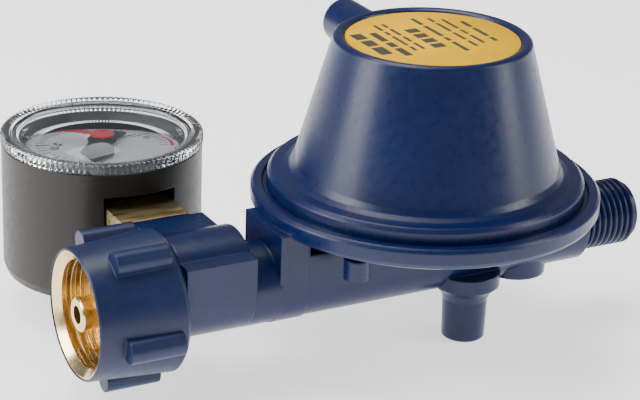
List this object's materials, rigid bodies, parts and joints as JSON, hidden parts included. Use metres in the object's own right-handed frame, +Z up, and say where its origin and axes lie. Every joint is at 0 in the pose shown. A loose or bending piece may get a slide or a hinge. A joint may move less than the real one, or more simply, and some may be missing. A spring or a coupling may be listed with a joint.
{
  "type": "gas regulator",
  "caption": "Low-pressure gas regulator with a conical diaphragm housing, ribbed hand nut, side gauge and threaded outlet.",
  "frame": {"origin": "bottom centre of the bounding box, level with the foot of the support post", "axes": "+X runs from the inlet nut to the outlet thread, +Y towards the gauge, +Z up through the bonnet"},
  "size_m": [0.118, 0.0934, 0.0612],
  "materials": {
    "blue_paint": "satin",
    "blue_plastic": "satin",
    "brass": "machined",
    "steel": "brushed",
    "rubber": "matte",
    "black_plastic": "satin",
    "clear_plastic": "clear, gloss",
    "dial_white": "satin",
    "pointer_black": "satin",
    "marker_red": "gloss",
    "label_yellow": "printed, gloss",
    "bronze": "plain"
  },
  "bodies": {
    "regulator_body": {"body_casting": "blue_paint", "bonnet": "blue_paint", "retaining_ring": "blue_paint", "label_disc": "label_yellow", "seal_cap": "black_plastic", "adjusting_screw": "steel", "range_spring": "steel", "diaphragm": "rubber", "lever_pin": "steel", "valve_seat": "brass", "inlet_strainer": "steel", "inlet_nipple": "brass", "vent_screen": "steel", "gauge_socket": "brass", "gauge_washer": "bronze", "gauge_case": "black_plastic", "gauge_dial": "dial_white", "dial_screws": "steel", "movement_plates": "brass", "movement_pillars": "brass", "bourdon_tube": "bronze"},
    "hand_nut": {"nut_insert": "brass", "nut_grip": "blue_plastic"},
    "spindle": {"relief_spindle": "brass", "relief_seal": "rubber", "relief_nut": "brass", "relief_spring": "steel"},
    "plates": {"spring_plate": "steel", "lower_plate": "steel"},
    "lever": {"valve_lever": "steel"},
    "slide": {"valve_slide": "brass", "valve_pad": "rubber"},
    "pointer": {"gauge_pointer": "pointer_black", "pinion_shaft": "brass"},
    "sector": {"sector_gear": "brass", "tip_link": "brass"},
    "lens": {"gauge_lens": "clear_plastic", "marker_hand": "marker_red", "marker_rivet": "steel"}
  },
  "joints": [
    {"name": "nut_spin", "type": "hinge", "parent": "regulator_body", "child": "hand_nut", "pos_m": [-0.0505, -0.0135, 0.0178], "axis": [1, 0, 0], "continuous": true},
    {"name": "diaphragm_travel", "type": "slide", "parent": "regulator_body", "child": "spindle", "axis": [0, 0, 1], "range_m": [-0.0012, 0.001], "stiffness_N_per_m": 1500, "deforming": ["range_spring", "diaphragm"]},
    {"name": "relief_lift", "type": "slide", "parent": "spindle", "child": "plates", "axis": [0, 0, 1], "range_m": [0, 0.0008], "stiffness_N_per_m": 1500, "deforming": ["relief_spring"]},
    {"name": "lever_tilt", "type": "hinge", "parent": "regulator_body", "child": "lever", "pos_m": [0.0215, -0.0135, 0.0222], "axis": [0, 1, 0], "range_deg": [-7.7, 6.45]},
    {"name": "valve_travel", "type": "slide", "parent": "regulator_body", "child": "slide", "axis": [-1, 0, 0], "range_m": [-0.0006, 0.0005]},
    {"name": "pointer_swing", "type": "hinge", "parent": "regulator_body", "child": "pointer", "pos_m": [-0.0367, 0.027, 0.0326], "axis": [0, 0, -1], "range_deg": [0, 270]},
    {"name": "sector_swing", "type": "hinge", "parent": "regulator_body", "child": "sector", "pos_m": [-0.0465, 0.027, 0.021], "axis": [0, 0, 1], "range_deg": [0, 45.1]},
    {"name": "lens_turn", "type": "hinge", "parent": "regulator_body", "child": "lens", "pos_m": [-0.0367, 0.027, 0.035], "axis": [0, 0, 1], "continuous": true}
  ],
  "couplings": [
    {"joint": "lever_tilt", "follows": "diaphragm_travel", "rad_per_m": 111.11},
    {"joint": "valve_travel", "follows": "diaphragm_travel", "ratio": 0.4889},
    {"joint": "sector_swing", "follows": "pointer_swing", "ratio": 0.16667}
  ]
}
